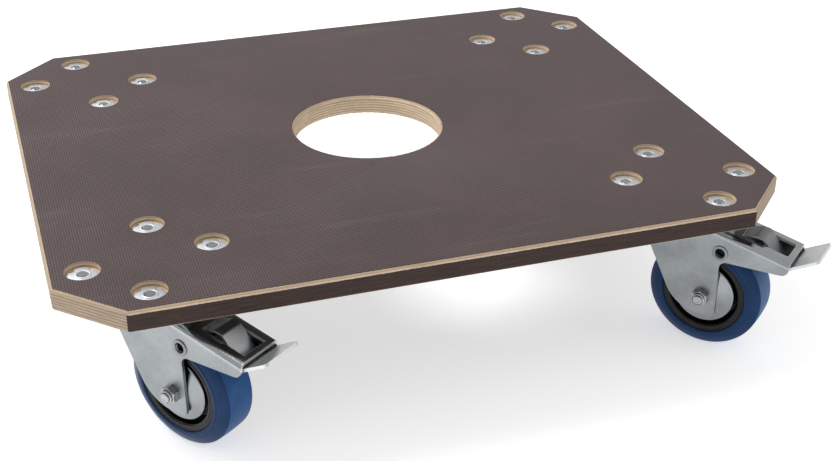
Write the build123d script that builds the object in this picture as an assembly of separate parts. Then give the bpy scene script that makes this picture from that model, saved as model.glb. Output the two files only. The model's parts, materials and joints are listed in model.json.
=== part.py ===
from build123d import *

import os
from math import atan2, cos, degrees, hypot, radians, sin, sqrt, tan

# Plywood furniture dolly on four braked swivel casters.
#
# Row frame: millimetres, +Z up, +X along the deck's long side. The origin is the centre of the deck's
# top face, on the axis of its round hand hole. Each caster is modelled in its own frame: the origin is
# on the floor under the swivel axis, +X points the way the wheel trails, and +Z is up. The axle's nut
# is on the -Y side. Each sub-part has its own function, and write_parts() places and exports them.

# ---------------------------------------------------------------- deck
deck_length = 600.0
deck_width = 500.0
deck_thickness = 18.0
corner_cut = 48.0              # leg of each cut-off corner
deck_edge_radius = 3.0         # routed round-over on every outer and hole edge
deck_corner_radius = 2.0       # upright edges of the outline
hand_hole_radius = 65.5

# ---------------------------------------------------------------- caster fixings
caster_inset = 75.0            # swivel axis to each side of the deck
bolt_spacing_out = 80.0        # towards the corner
bolt_spacing_along = 60.0      # along the cut-off corner
bolt_radius = 4.0
bolt_end_proud = 1.1           # bolt's end above the tee nut's flange
bolt_end_chamfer = 0.8
bolt_head_across_flats = 13.0
bolt_head_height = 5.3
bolt_flange_radius = 8.5
bolt_flange_height = 1.4
bolt_hole_clearance = 0.4
counterbore_radius = 13.5
counterbore_depth = 5.0
tee_flange_radius = 11.6
tee_flange_thickness = 1.5
tee_barrel_radius = 5.0
tee_barrel_length = 9.5
tee_prongs = 4
tee_prong_width = 4.2
tee_prong_thickness = 1.2
tee_prong_length = 4.5
tee_notch_depth = 2.6
tee_ring_radius = 6.2          # raised ring round the thread
tee_ring_height = 0.8

# ---------------------------------------------------------------- caster, overall
caster_height = 130.0          # floor to the underside of the deck
wheel_radius = 50.0
trail = 35.0                   # swivel axis to axle, level
caster_headings = {            # way each wheel trails, degrees from +X
    "front_left": -53.0,
    "front_right": -49.5,
    "rear_left": -52.0,
    "rear_right": -50.5,
}
caster_sides = {
    "front_left": (-1, -1),
    "front_right": (1, -1),
    "rear_left": (-1, 1),
    "rear_right": (1, 1),
}

# ---------------------------------------------------------------- top plate and swivel head
plate_length = 105.0
plate_width = 85.0
plate_thickness = 3.0
plate_corner_radius = 9.0
race_boss_radius = 29.0        # pressed-down middle of the plate
race_boss_drop = 4.0
race_boss_draft = 3.0
ball_radius = 3.0
ball_count = 16
ball_pitch_radius = 22.0
lower_ball_radius = 2.5
lower_ball_count = 14
lower_ball_pitch_radius = 13.5
race_clearance = 0.3
groove_offset = 0.6             # how far the groove's centre lies beyond the balls' centres
kingpin_radius = 7.0
kingpin_head_radius = 10.5
kingpin_head_height = 3.5
kingpin_head_chamfer = 1.5
kingpin_rivet_overhang = 1.8     # riveted-over top end, beyond the pin
kingpin_rivet_crown = 0.6
kingpin_rivet_height = 1.6
kingpin_clearance = 0.3
lower_race_radius = 18.0
lower_race_thickness = 2.5
lower_race_lip = 2.6
lower_race_wall = 1.6

# ---------------------------------------------------------------- fork
sheet = 2.5
fork_inner_half = 19.5
crown_radius = 31.0
crown_chamfer = 1.5
crown_inner_chamfer = 1.0
crown_flare_drop = 15.0        # height over which the round crown blends into the legs
roof_start = 40.0              # the sheet is level up to here, then slopes down
roof_end = 105.5
roof_slope = 12.0              # degrees
arm_low_inner = 87.6           # height of the arm's lower edge, at the leg
arm_low_outer = 90.0           # and at its tip
arm_tip_radius = 7.0
throat_radius = 6.5
leg_front_top = -30.2          # leading edge of the leg, at the crown
leg_toe = 12.9                 # and where its line meets the foot, before the foot is rounded
leg_heel = 48.5                # trailing edge of the leg, at the foot
leg_waist = 47.2               # and under the arm
leg_bottom = 32.5
leg_corner_radius = 5.0
leg_foot_radius = 34.0
bend_radius = 5.5              # outside radius where the roof folds into the sides
window_start = 61.0
window_end = 101.0
window_half_width = 12.0
window_corner_radius = 1.5
window_cutter_height = 47.0      # reaches through the sloping roof at both ends of the window
cutter_overrun = 20.0            # how far the inside's cutter runs past the sheet

# ---------------------------------------------------------------- axle
axle_radius = 4.0
axle_across_flats = 13.0
axle_head_height = 5.3
axle_nut_height = 8.0
axle_nut_collar_height = 2.4
axle_nut_collar_radius = 5.8
axle_end_proud = 1.2
axle_end_chamfer = 0.8
hex_corner_cut = 0.07          # chamfer on the hexes' corners, as a share of their inscribed radius
hex_cone_radius = 1.1          # radius of the cone that cuts them, as a share of the same
axle_nut_collar_rounding = 1.0
sleeve_radius = 6.6
guard_thickness = 1.0
guard_radius = 27.0
guard_hub_radius = 11.0
guard_dish = 3.2               # how far the guard's rim lies in from its hub
guard_bend_width = 1.2         # the rim's bend, its fall and its turned-in lip
guard_bend_fall = 0.5
guard_lip_depth = 1.6
guard_lip_thickness = 0.9
guard_hub_draft = 0.3

# ---------------------------------------------------------------- wheel
tyre_inner_radius = 36.4
tyre_half_width = 18.0
bead_radius = 39.6             # the thick ring of the side wall ends here
bead_step = 0.8
tread_half_width = 12.4
tread_crown = 0.4
rim_half_width = 17.2
rim_ring_inner_radius = 30.5
rim_ring_rounding = 2.2
rim_web_half_thickness = 4.0
rim_draft = 0.8
hub_radius = 14.5
hub_half_width = 16.5
roller_radius = 1.6
roller_count = 12
roller_length = 26.0
roller_clearance = 0.1
cage_play = 0.35
cage_length = 31.0

# ---------------------------------------------------------------- brake pedal
pivot_x = 47.0
pivot_z = 95.6
rivet_radius = 4.5
rivet_hole_radius = 3.5
rivet_flange_radius = 6.75
rivet_flange_height = 1.1
rivet_rim_bevel = 0.3
rivet_rim_share = 0.6          # height of the flange's rim as a share of its full height
rivet_slope_width = 1.3
rivet_roll_width = 0.9         # rolled lip round the hole
rivet_roll_share = 0.3
pedal_play = 0.3               # sideways, between cheek and fork
pedal_swing = 12.0             # degrees from free to locked
cheek_thickness = 1.6
cheek_boss_radius = 6.0
cheek_roof_gap = 0.5           # below the curve of the roof's fold
pivot_clearance = 0.1
lip_sheet = 2.5
lip_half_width = 19.0
lip_start_x = 103.2
lip_start_z = 94.8
lip_length = 28.5
lip_slope = 30.0
lip_corner_radius = 4.0
toe_x = 96.5                   # where the plate that ties the cheeks bends up to the lip
toe_z = 91.8
toe_back_x = 80.0              # inner end of that plate, seen through the window beside the tongue
cheek_below_toe = 1.6
cheek_toe_inset = 3.0
cheek_lip_overlap = 1.2
cheek_roof_inset = 1.0
cheek_shoe_inset = 8.0
shoe_angle = 35.0              # place on the tyre, degrees from its top towards the pedal
shoe_length = 13.0
shoe_gap_locked = 0.3
shoe_tip_allowance = 0.8       # the flat shoe tips as it swings in, so one end comes lower
tongue_half_width = 10.5
tongue_sheet = 1.8
tongue_crest_x = 77.0
tongue_crest_height = 4.4      # crest above the roof
tongue_end_x = 62.5
tongue_root_inset = 1.5        # how far its root runs into the toe plate
tongue_root_lift = 0.3
tongue_bend_inset = 4.0
tongue_bend_lift = 1.6
tongue_crest_width = 6.5
tongue_crest_inset = 1.5
tongue_crest_rise = 0.8
strip_bend_radius = 1.8        # of a bent strip's middle line, in thicknesses

# ---------------------------------------------------------------- worked out from the above
deck_bottom = -deck_thickness
floor_level = deck_bottom - caster_height
plate_bottom = caster_height - plate_thickness
boss_bottom = plate_bottom - race_boss_drop
crown_top = boss_bottom - 2 * race_clearance - 2 * ball_radius
crown_bottom = crown_top - sheet
lower_race_top = crown_bottom - 2 * race_clearance - 2 * lower_ball_radius
lower_race_bottom = lower_race_top - lower_race_thickness
fork_outer_half = fork_inner_half + sheet
cheek_outer = fork_inner_half - pedal_play
cheek_inner = cheek_outer - cheek_thickness
sleeve_half_length = fork_inner_half - guard_thickness
hub_bore_radius = sleeve_radius + 2 * roller_radius + 2 * roller_clearance
roller_pitch_radius = sleeve_radius + roller_clearance + roller_radius
counterbore_floor = -counterbore_depth
tee_top = counterbore_floor + tee_flange_thickness
hex_corner = 2 / sqrt(3)
leg_toe_corner = (leg_toe, leg_bottom)
leg_heel_corner = (leg_heel, leg_bottom)
throat_corner = (leg_waist, arm_low_inner)
arm_tip_corner = (roof_end, arm_low_outer)


def roof_top(x):
    """Height of the outside of the fork's roof above a point x along it."""
    return crown_top - max(0.0, x - roof_start) * tan(radians(roof_slope))


def upright(face, half_width):
    """A profile drawn in the XZ plane, given thickness either side of it."""
    return extrude(face, amount=half_width, both=True)


def outline(points):
    """A face in the XZ plane with these corners."""
    return Plane.XZ * make_face(Polyline(*points, close=True))


def turned(points):
    """A solid turned about Z from a half profile of (radius, height) points."""
    return revolve(outline(points), Axis.Z)


def hex_prism(across_flats, height):
    return extrude(RegularPolygon(across_flats / 2 * hex_corner, 6), amount=height)


def ring_of(shape, count, radius, height=0.0):
    """Copies of a shape at equal angles round Z."""
    return [Rot(0, 0, 360 / count * i) * Pos(radius, 0, height) * shape for i in range(count)]


def on_axle(shape):
    """Turns a part made round Z to lie along the axle, its +Z end on the nut's side."""
    return Pos(trail, 0, wheel_radius) * Rot(90, 0, 0) * shape


def side_points():
    """The fork's side view, anticlockwise from the crown's leading end."""
    return [
        (leg_front_top, crown_top),
        leg_toe_corner,
        leg_heel_corner,
        throat_corner,
        arm_tip_corner,
        (roof_end, roof_top(roof_end)),
        (roof_start, crown_top),
    ]


# ================================================================ deck and its fixings
def bolt_places():
    """Every caster bolt's (x, y) on the deck."""
    places = []
    for side_x, side_y in caster_sides.values():
        centre_x = side_x * (deck_length / 2 - caster_inset)
        centre_y = side_y * (deck_width / 2 - caster_inset)
        heading = plate_heading(side_x, side_y)
        for out in (-bolt_spacing_out / 2, bolt_spacing_out / 2):
            for along in (-bolt_spacing_along / 2, bolt_spacing_along / 2):
                spot = Pos(centre_x, centre_y, 0) * Rot(0, 0, heading) * Pos(out, along, 0)
                places.append((spot.position.X, spot.position.Y, heading))
    return places


def plate_heading(side_x, side_y):
    """A caster plate's long side points straight out at the cut-off corner."""
    return degrees(atan2(side_y, side_x))


def tee_nut():
    """Pronged tee nut, its flange's top face at z 0."""
    flange = Pos(0, 0, -tee_flange_thickness / 2) * Cylinder(tee_flange_radius, tee_flange_thickness)
    barrel = Pos(0, 0, -tee_barrel_length / 2) * Cylinder(tee_barrel_radius, tee_barrel_length)
    notch = Box(2 * tee_notch_depth, tee_prong_width, 2 * tee_flange_thickness)
    prong_reach = tee_flange_radius - tee_notch_depth - tee_prong_thickness / 2
    prong = Box(tee_prong_thickness, tee_prong_width, tee_prong_length)
    ring = Pos(0, 0, tee_ring_height / 2) * Cylinder(tee_ring_radius, tee_ring_height)
    nut = flange + barrel + fillet(ring.faces().sort_by(Axis.Z)[-1].edges(), tee_ring_height / 2)
    nut -= ring_of(notch, tee_prongs, tee_flange_radius)
    nut += ring_of(prong, tee_prongs, prong_reach, -tee_prong_length / 2)
    return nut - Cylinder(bolt_radius, 3 * tee_barrel_length)


def caster_bolt():
    """Flanged hex bolt, its flange against the plate's underside at z 0, its shank upwards."""
    length = tee_top + bolt_end_proud - (deck_bottom - plate_thickness)
    shank = Pos(0, 0, length / 2) * Cylinder(bolt_radius, length)
    shank = chamfer(shank.faces().sort_by(Axis.Z)[-1].edges(), bolt_end_chamfer)
    flange = Pos(0, 0, -bolt_flange_height / 2) * Cylinder(bolt_flange_radius, bolt_flange_height)
    head = Pos(0, 0, -bolt_head_height) * hex_prism(bolt_head_across_flats, bolt_head_height)
    return shank + flange + head


def deck_board():
    """Plywood board: cut corners, hand hole, rounded edges, counterbores and holes for tee nuts."""
    half_x, half_y = deck_length / 2, deck_width / 2
    quarter = [(half_x, half_y - corner_cut), (half_x - corner_cut, half_y)]
    corners = quarter + [(-x, y) for x, y in reversed(quarter)]
    corners += [(-x, -y) for x, y in corners]
    board = Pos(0, 0, deck_bottom) * extrude(make_face(Polyline(*corners, close=True)), amount=deck_thickness)
    board = fillet(board.edges().filter_by(Axis.Z), deck_corner_radius)
    board -= Pos(0, 0, deck_bottom / 2) * Cylinder(hand_hole_radius, 2 * deck_thickness)
    rims = board.faces().sort_by(Axis.Z)
    board = fillet(rims[0].edges() + rims[-1].edges(), deck_edge_radius)
    nut = Pos(0, 0, tee_top) * tee_nut()
    bolt_hole = Cylinder(bolt_radius + bolt_hole_clearance, 3 * deck_thickness)
    counterbore = Cylinder(counterbore_radius, deck_thickness)
    counterbore = Pos(0, 0, counterbore_floor + deck_thickness / 2) * counterbore
    cut = [Pos(x, y, 0) * Rot(0, 0, heading) * tool
           for x, y, heading in bolt_places() for tool in (counterbore, nut, bolt_hole)]
    return board - cut


def at_bolts(shape, height):
    return [Pos(x, y, height) * Rot(0, 0, heading) * shape for x, y, heading in bolt_places()]


# ================================================================ top plate and swivel head
def top_plate():
    """Fixing plate, long side along X, with its middle pressed down as the upper ball race."""
    plate = Pos(0, 0, plate_bottom + plate_thickness / 2) * Box(plate_length, plate_width, plate_thickness)
    plate = fillet(plate.edges().filter_by(Axis.Z), plate_corner_radius)
    boss = turned([
        (0, plate_bottom + plate_thickness / 2),
        (race_boss_radius + race_boss_draft, plate_bottom + plate_thickness / 2),
        (race_boss_radius + race_boss_draft, plate_bottom),
        (race_boss_radius, boss_bottom),
        (0, boss_bottom),
    ])
    recess = turned([
        (0, caster_height),
        (race_boss_radius, caster_height),
        (race_boss_radius - race_boss_draft, boss_bottom + plate_thickness),
        (0, boss_bottom + plate_thickness),
    ])
    ball_height = boss_bottom - race_clearance - ball_radius
    groove = turned_groove(ball_pitch_radius, ball_height + groove_offset, ball_radius)
    hole = Cylinder(bolt_radius + bolt_hole_clearance, 4 * plate_thickness)
    holes = [Pos(out * bolt_spacing_out / 2, along * bolt_spacing_along / 2, caster_height) * hole
             for out in (-1, 1) for along in (-1, 1)]
    pin_hole = Pos(0, 0, plate_bottom) * Cylinder(kingpin_radius, 6 * plate_thickness)
    return plate + boss - recess - groove - holes - pin_hole


def turned_groove(pitch_radius, height, groove_radius):
    """A ball groove's cutter: a ring of round section about Z."""
    section = Plane.XZ * Pos(pitch_radius, height) * Circle(groove_radius)
    return revolve(section, Axis.Z)


def kingpin():
    """Riveted pin that holds the swivel head together; its lower head carries the lower race."""
    top = boss_bottom + plate_thickness
    head_bottom = lower_race_bottom - kingpin_head_height
    return turned([
        (0, head_bottom),
        (kingpin_head_radius - kingpin_head_chamfer, head_bottom),
        (kingpin_head_radius, head_bottom + kingpin_head_chamfer),
        (kingpin_head_radius, lower_race_bottom),
        (kingpin_radius, lower_race_bottom),
        (kingpin_radius, top),
        (kingpin_radius + kingpin_rivet_overhang, top),
        (kingpin_radius + kingpin_rivet_crown, top + kingpin_rivet_height),
        (0, top + kingpin_rivet_height),
    ])


def lower_race():
    """Cup under the fork's crown that the lower balls run in."""
    return turned([
        (kingpin_radius, lower_race_bottom),
        (lower_race_radius, lower_race_bottom),
        (lower_race_radius, lower_race_top + lower_race_lip),
        (lower_race_radius - lower_race_wall, lower_race_top + lower_race_lip),
        (lower_race_radius - lower_race_wall, lower_race_top),
        (kingpin_radius, lower_race_top),
    ])


def swivel_balls():
    """The two rings of balls above and below the fork's crown."""
    upper = crown_top + race_clearance + ball_radius
    lower = lower_race_top + race_clearance + lower_ball_radius
    balls = ring_of(Sphere(ball_radius), ball_count, ball_pitch_radius, upper)
    return balls + ring_of(Sphere(lower_ball_radius), lower_ball_count, lower_ball_pitch_radius, lower)


# ================================================================ fork
def crown_flare():
    """Round crown and its flared skirt, which the legs hang from."""
    flare_bottom = crown_top - crown_flare_drop
    return turned([
        (0, crown_top),
        (crown_radius - crown_chamfer, crown_top),
        (crown_radius, crown_top - crown_chamfer),
        (crown_radius, crown_bottom),
        (fork_outer_half, flare_bottom),
        (0, flare_bottom),
    ])


def crown_hollow():
    """Space inside the flared skirt, one sheet in from its outside."""
    flare_bottom = crown_top - crown_flare_drop
    return turned([
        (0, crown_bottom),
        (crown_radius - sheet - crown_inner_chamfer, crown_bottom),
        (crown_radius - sheet, crown_bottom - crown_inner_chamfer),
        (fork_inner_half, flare_bottom),
        (0, flare_bottom - crown_inner_chamfer),
    ])


def fork():
    """One pressed sheet: round crown, two legs, and a sloping roof over the wheel with a window."""
    body = upright(outline(side_points()), fork_outer_half)
    for corner, radius in (
        (throat_corner, throat_radius),
        (leg_heel_corner, leg_corner_radius),
        (leg_toe_corner, leg_foot_radius),
        (arm_tip_corner, arm_tip_radius),
    ):
        body = fillet(edges_across(body, corner), radius)
    body = fillet(roof_edges(body), bend_radius)
    body += crown_flare()
    far = roof_end + cutter_overrun
    inside = [
        (leg_front_top - cutter_overrun, crown_bottom),
        (roof_start - sheet * tan(radians(roof_slope / 2)), crown_bottom),
        (far, roof_top(far) - sheet / cos(radians(roof_slope))),
        (far, 0.0),
        (leg_front_top - cutter_overrun, 0.0),
    ]
    cavity = upright(outline(inside), fork_inner_half)
    cavity = fillet(roof_edges(cavity), bend_radius - sheet)
    body -= cavity
    body -= crown_hollow()
    window = Pos((window_start + window_end) / 2, 0, crown_top) * Box(
        window_end - window_start, 2 * window_half_width, window_cutter_height)
    body -= fillet(window.edges().filter_by(Axis.Z), window_corner_radius)
    body -= Cylinder(kingpin_radius + kingpin_clearance, 4 * caster_height)
    ball_height = crown_top + race_clearance + ball_radius
    body -= turned_groove(ball_pitch_radius, ball_height - groove_offset, ball_radius)
    body -= on_axle(Cylinder(axle_radius, 6 * fork_outer_half))
    body -= Pos(pivot_x, 0, pivot_z) * Rot(90, 0, 0) * Cylinder(rivet_radius, 6 * fork_outer_half)
    return body


def edges_across(body, corner):
    """Edges across the body at this corner of its side view."""
    return body.edges().filter_by(Axis.Y).filter_by(
        lambda edge: hypot(edge.center().X - corner[0], edge.center().Z - corner[1]) < 0.01)


def roof_edges(body):
    """The long edges where the crown and roof meet the sides."""
    def on_roof(edge):
        middle = edge.center()
        ends = [vertex.Z for vertex in edge.vertices()]
        level = abs(ends[0] - ends[1]) < 0.01 and middle.Z > crown_bottom - 0.01
        run = abs(edge.vertices()[0].X - edge.vertices()[1].X)
        sloped = run > 20.0 and abs(abs(ends[0] - ends[1]) / run - tan(radians(roof_slope))) < 1e-3
        return abs(middle.Y) > 1.0 and run > 20.0 and (level or sloped)
    return body.edges().filter_by(on_roof)


# ================================================================ axle
def axle_bolt():
    """Bolt through fork, guards and sleeve, made round Z with its head at the -Z end."""
    end = fork_outer_half + axle_nut_height + axle_end_proud
    length = end + fork_outer_half
    shank = Pos(0, 0, end - length / 2) * Cylinder(axle_radius, length)
    shank = chamfer(shank.faces().sort_by(Axis.Z)[-1].edges(), axle_end_chamfer)
    head = Pos(0, 0, -fork_outer_half - axle_head_height) * hex_prism(axle_across_flats, axle_head_height)
    return on_axle(shank + rounded_hex(head))


def rounded_hex(prism):
    """Takes the corners off a hex prism's two ends, as a die does."""
    box = prism.bounding_box()
    inscribed = box.size.Y / 2 if box.size.Y < box.size.X else box.size.X / 2
    cone = Pos(0, 0, box.center().Z) * Cylinder(inscribed * hex_cone_radius, box.size.Z)
    return prism & chamfer(cone.edges().filter_by(GeomType.CIRCLE), inscribed * hex_corner_cut)


def axle_nut():
    """Lock nut: a hex body and the round collar that holds its nylon ring."""
    hex_height = axle_nut_height - axle_nut_collar_height
    body = rounded_hex(hex_prism(axle_across_flats, hex_height))
    collar = Pos(0, 0, hex_height + axle_nut_collar_height / 2) * Cylinder(
        axle_nut_collar_radius, axle_nut_collar_height)
    collar = fillet(collar.faces().sort_by(Axis.Z)[-1].edges(), axle_nut_collar_rounding)
    nut = body + collar - Cylinder(axle_radius, 6 * axle_nut_height)
    return on_axle(Pos(0, 0, fork_outer_half) * nut)


def axle_sleeve():
    """Steel tube between the guards that the rollers run on."""
    bore = Cylinder(axle_radius, 4 * sleeve_half_length)
    return on_axle(Cylinder(sleeve_radius, 2 * sleeve_half_length) - bore)


def thread_guards():
    """Dished discs, one each side of the hub, clamped between the sleeve and the fork."""
    hub, rim = fork_inner_half, fork_inner_half - guard_dish
    disc = turned([
        (axle_radius, hub),
        (guard_hub_radius, hub),
        (guard_radius - guard_bend_width, rim),
        (guard_radius, rim - guard_bend_fall),
        (guard_radius, rim - guard_lip_depth),
        (guard_radius - guard_lip_thickness, rim - guard_lip_depth),
        (guard_radius - guard_lip_thickness, rim - guard_thickness),
        (guard_hub_radius - guard_hub_draft, hub - guard_thickness),
        (axle_radius, hub - guard_thickness),
    ])
    return [on_axle(disc), on_axle(Rot(180, 0, 0) * disc)]


# ================================================================ wheel
def tyre():
    """Elastic rubber tyre: a thick bead ring, side walls that curve in, and a slightly crowned tread."""
    bead, wall = tyre_half_width, tyre_half_width - bead_step
    shoulder = (wheel_radius - tread_crown, tread_half_width)
    flank = [
        Line((tyre_inner_radius, rim_half_width), (tyre_inner_radius + bead_step, bead)),
        Line((tyre_inner_radius + bead_step, bead), (bead_radius, bead)),
        Line((bead_radius, bead), (bead_radius + bead_step, wall)),
        Spline((bead_radius + bead_step, wall), shoulder, tangents=[(1.0, 0.0), (0.7, -1.0)]),
    ]
    tread = ThreePointArc(shoulder, (wheel_radius, 0), (shoulder[0], -shoulder[1]))
    bond = Line((tyre_inner_radius, rim_half_width), (tyre_inner_radius, -rim_half_width))
    section = make_face([*flank, tread, *[mirror(edge, about=Plane.XZ) for edge in flank], bond])
    return on_axle(revolve(Plane.XZ * section, Axis.Z))


def wheel_rim():
    """Moulded rim: hub, web and the ring that carries the tyre."""
    half = [
        (hub_bore_radius, hub_half_width),
        (hub_radius, hub_half_width),
        (hub_radius + rim_draft, rim_web_half_thickness),
        (rim_ring_inner_radius - rim_draft, rim_web_half_thickness),
        (rim_ring_inner_radius, rim_half_width),
        (tyre_inner_radius, rim_half_width),
    ]
    rim = turned(half + [(radius, -height) for radius, height in reversed(half)])
    ring_edges = rim.edges().filter_by(GeomType.CIRCLE).filter_by(
        lambda edge: abs(edge.radius - rim_ring_inner_radius) < 0.01)
    return on_axle(fillet(ring_edges, rim_ring_rounding))


def roller_bearing():
    """Cage and rollers between the sleeve and the hub."""
    cage_wall = roller_radius - cage_play
    cage = Cylinder(roller_pitch_radius + cage_wall, cage_length)
    cage -= Cylinder(roller_pitch_radius - cage_wall, 2 * cage_length)
    pocket = Cylinder(roller_radius + roller_clearance, roller_length + 2 * roller_clearance)
    cage -= ring_of(pocket, roller_count, roller_pitch_radius)
    rollers = ring_of(Cylinder(roller_radius, roller_length), roller_count, roller_pitch_radius)
    return [on_axle(piece) for piece in (cage, *rollers)]


# ================================================================ brake
def brake_rivets():
    """Hollow rivets, one through each side of the fork, that the pedal's cheeks turn on."""
    outer, inner = fork_outer_half, cheek_inner
    rivet = turned([
        (rivet_hole_radius, inner),
        (rivet_radius, inner),
        (rivet_radius, outer),
        (rivet_flange_radius, outer),
        (rivet_flange_radius - rivet_rim_bevel, outer + rivet_flange_height * rivet_rim_share),
        (rivet_flange_radius - rivet_slope_width, outer + rivet_flange_height),
        (rivet_hole_radius + rivet_roll_width, outer + rivet_flange_height),
        (rivet_hole_radius, outer + rivet_flange_height * rivet_roll_share),
    ])
    places = [Rot(90, 0, 0), Rot(-90, 0, 0)]
    return [Pos(pivot_x, 0, pivot_z) * place * rivet for place in places]


def shoe_centre():
    """Middle of the brake shoe's plate at rest, so that it just clears the tyre when locked."""
    angle = radians(shoe_angle)
    reach_x = trail + wheel_radius * sin(angle) - pivot_x
    reach_z = wheel_radius + wheel_radius * cos(angle) - pivot_z
    swing = radians(pedal_swing)
    # How far the shoe's face nears the axle as the pedal swings through its range.
    moved_x = reach_x * cos(swing) + reach_z * sin(swing) - reach_x
    moved_z = reach_z * cos(swing) - reach_x * sin(swing) - reach_z
    approach = -(moved_x * sin(angle) + moved_z * cos(angle))
    distance = wheel_radius + approach + shoe_gap_locked + shoe_tip_allowance + sheet / 2
    return trail + distance * sin(angle), wheel_radius + distance * cos(angle)


def strip(points, thickness, half_width):
    """A bent sheet-metal strip whose middle line follows these (x, z) points, with rounded bends."""
    path = Plane.XZ * FilletPolyline(*points, radius=[strip_bend_radius * thickness] * (len(points) - 2))
    return upright(make_face(offset(path, thickness / 2, side=Side.BOTH)), half_width)


def pedal_lip():
    """Foot plate that sticks out past the fork's roof, with rounded outer corners."""
    lip = Box(lip_length, 2 * lip_half_width, lip_sheet, align=(Align.MIN, Align.CENTER, Align.CENTER))
    outer = lip.edges().filter_by(Axis.Z).filter_by(lambda edge: edge.center().X > lip_length / 2)
    lip = fillet(outer, lip_corner_radius)
    return Pos(lip_start_x, 0, lip_start_z) * Rot(0, -lip_slope, 0) * lip


def brake_pedal():
    """Pedal: foot plate, the toe plate under the roof, two cheeks, brake shoe and release tongue."""
    reach = cheek_lip_overlap * cos(radians(lip_slope)), cheek_lip_overlap * sin(radians(lip_slope))
    toe_line = [(toe_back_x, toe_z), (toe_x, toe_z), (lip_start_x + reach[0], lip_start_z + reach[1])]
    toe = strip(toe_line, lip_sheet, cheek_outer)
    shoe_x, shoe_z = shoe_centre()
    shoe = Pos(shoe_x, 0, shoe_z) * Rot(0, shoe_angle, 0) * Box(shoe_length, 2 * cheek_outer, sheet)
    under_roof = sheet / cos(radians(roof_slope)) + bend_radius - sheet + cheek_roof_gap
    cheek_line = [
        (pivot_x, pivot_z - cheek_boss_radius),
        (toe_x + cheek_toe_inset, toe_z - cheek_below_toe),
        (lip_start_x + cheek_lip_overlap, lip_start_z),
        (lip_start_x - cheek_roof_inset, roof_top(lip_start_x) - under_roof),
        (shoe_x - cheek_shoe_inset, roof_top(shoe_x - cheek_shoe_inset) - under_roof),
        (pivot_x, pivot_z + cheek_boss_radius),
    ]
    boss = Pos(pivot_x, 0, pivot_z) * Rot(90, 0, 0) * Cylinder(cheek_boss_radius, 2 * cheek_outer)
    arm_x, arm_z = shoe_length / 2 * cos(radians(shoe_angle)), shoe_length / 2 * sin(radians(shoe_angle))
    arm_line = [(pivot_x, pivot_z), (shoe_x - arm_x, shoe_z + arm_z), (shoe_x + arm_x, shoe_z - arm_z)]
    cheeks = upright(outline(cheek_line), cheek_outer) + upright(outline(arm_line), cheek_outer) + boss
    cheeks -= Box(8 * trail, 2 * cheek_inner, 2 * caster_height)
    pedal = cheeks + toe + shoe + pedal_lip() + release_tongue()
    pivot_hole = Cylinder(rivet_radius + pivot_clearance, 6 * fork_outer_half)
    return pedal - Pos(pivot_x, 0, pivot_z) * Rot(90, 0, 0) * pivot_hole


def release_tongue():
    """Springy strip that rises from the toe plate through the window and rolls over at its crest."""
    crest = roof_top(tongue_crest_x) + tongue_crest_height - tongue_sheet / 2
    points = [
        (toe_x + tongue_root_inset, toe_z + tongue_root_lift),
        (toe_x - tongue_bend_inset, toe_z + tongue_bend_lift),
        (tongue_crest_x + tongue_crest_inset, crest),
        (tongue_crest_x + tongue_crest_inset - tongue_crest_width, crest + tongue_crest_rise),
        (tongue_end_x, roof_top(tongue_end_x) - tongue_sheet),
    ]
    return strip(points, tongue_sheet, tongue_half_width)


# ================================================================ assembly
def solids_of(shape):
    """Every solid of a shape, a list or a list of lists, as one flat list."""
    if isinstance(shape, (list, tuple)):
        return [solid for part in shape for solid in solids_of(part)]
    return list(shape.solids())


def write(name, shape):
    pieces = solids_of(shape)
    whole = pieces[0] if len(pieces) == 1 else Compound(children=pieces)
    export_step(whole, f"parts/{name}.step")


def write_parts():
    os.makedirs("parts", exist_ok=True)
    write("deck_board", deck_board())
    write("tee_nuts", at_bolts(tee_nut(), tee_top))
    write("caster_bolts", at_bolts(caster_bolt(), deck_bottom - plate_thickness))
    fixed = {"top_plate": top_plate(), "kingpin": kingpin(), "lower_race": lower_race()}
    turning = {
        "fork": fork(),
        "swivel_balls": swivel_balls(),
        "axle_bolt": axle_bolt(),
        "axle_nut": axle_nut(),
        "axle_sleeve": axle_sleeve(),
        "thread_guards": thread_guards(),
        "brake_rivets": brake_rivets(),
        "tyre": tyre(),
        "wheel_rim": wheel_rim(),
        "roller_bearing": roller_bearing(),
        "brake_pedal": brake_pedal(),
    }
    for name, (side_x, side_y) in caster_sides.items():
        spot_x = side_x * (deck_length / 2 - caster_inset)
        spot_y = side_y * (deck_width / 2 - caster_inset)
        spot = Pos(spot_x, spot_y, floor_level)
        for parts, heading in ((fixed, plate_heading(side_x, side_y)), (turning, caster_headings[name])):
            for part, shape in parts.items():
                place = spot * Rot(0, 0, heading)
                write(f"{name}_{part}", [place * solid for solid in solids_of(shape)])


write_parts()
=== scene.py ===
"""Looks of the furniture dolly: a film-faced plywood board on four braked swivel casters.

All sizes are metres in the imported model's frame: +Z up, the origin on the board's top face, on the
axis of its hand hole. Turned and moulded pieces are surfaces of revolution round their own axle.
"""
import json
import math

import bmesh
import bpy
import numpy as np
from mathutils import Matrix, Vector


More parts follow.
